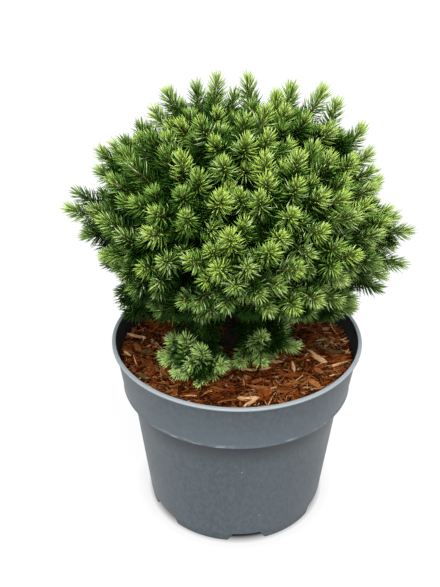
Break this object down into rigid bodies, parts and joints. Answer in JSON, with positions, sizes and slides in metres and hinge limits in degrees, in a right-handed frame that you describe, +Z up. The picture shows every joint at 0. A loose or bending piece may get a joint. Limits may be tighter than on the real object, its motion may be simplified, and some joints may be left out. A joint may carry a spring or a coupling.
{
  "type": "potted dwarf globe white spruce",
  "caption": "Dwarf globe-shaped white spruce, a dense ball of short needled shoots on a low trunk, growing in a tapered plastic nursery pot topped with bark mulch.",
  "frame": {"origin": "centre of the pot's underside, on the ground, which is also the bottom centre of the whole plant's box", "axes": "+Z up along the pot's axis; -Y towards the viewer of the front, where two low sprays lie on the mulch; +X to that viewer's right"},
  "size_m": [0.2759, 0.2503, 0.3835],
  "materials": {
    "pot_plastic": "matte",
    "soil": "matte",
    "mulch": "matte",
    "bark": "matte",
    "needles": "matte"
  },
  "bodies": {
    "root": {"pot": "pot_plastic", "potting_soil": "soil", "bark_mulch": "mulch", "trunk": "bark", "bough_top_1": "bark", "foliage_top_1": "needles", "bough_top_2": "bark", "foliage_top_2": "needles", "bough_top_3": "bark", "foliage_top_3": "needles", "bough_upper_1": "bark", "foliage_upper_1": "needles", "bough_upper_2": "bark", "foliage_upper_2": "needles", "bough_upper_3": "bark", "foliage_upper_3": "needles", "bough_upper_4": "bark", "foliage_upper_4": "needles", "bough_upper_5": "bark", "foliage_upper_5": "needles", "bough_upper_6": "bark", "foliage_upper_6": "needles", "bough_middle_1": "bark", "foliage_middle_1": "needles", "bough_middle_2": "bark", "foliage_middle_2": "needles", "bough_middle_3": "bark", "foliage_middle_3": "needles", "bough_middle_4": "bark", "foliage_middle_4": "needles", "bough_middle_5": "bark", "foliage_middle_5": "needles", "bough_middle_6": "bark", "foliage_middle_6": "needles", "bough_middle_7": "bark", "foliage_middle_7": "needles", "bough_middle_8": "bark", "foliage_middle_8": "needles", "bough_lower_1": "bark", "foliage_lower_1": "needles", "bough_lower_2": "bark", "foliage_lower_2": "needles", "bough_lower_3": "bark", "foliage_lower_3": "needles", "bough_lower_4": "bark", "foliage_lower_4": "needles", "bough_lower_5": "bark", "foliage_lower_5": "needles", "bough_lower_6": "bark", "foliage_lower_6": "needles", "bough_lower_7": "bark", "foliage_lower_7": "needles", "bough_skirt_1": "bark", "foliage_skirt_1": "needles", "bough_skirt_2": "bark", "foliage_skirt_2": "needles", "bough_skirt_3": "bark", "foliage_skirt_3": "needles", "bough_skirt_4": "bark", "foliage_skirt_4": "needles"}
  },
  "joints": []
}
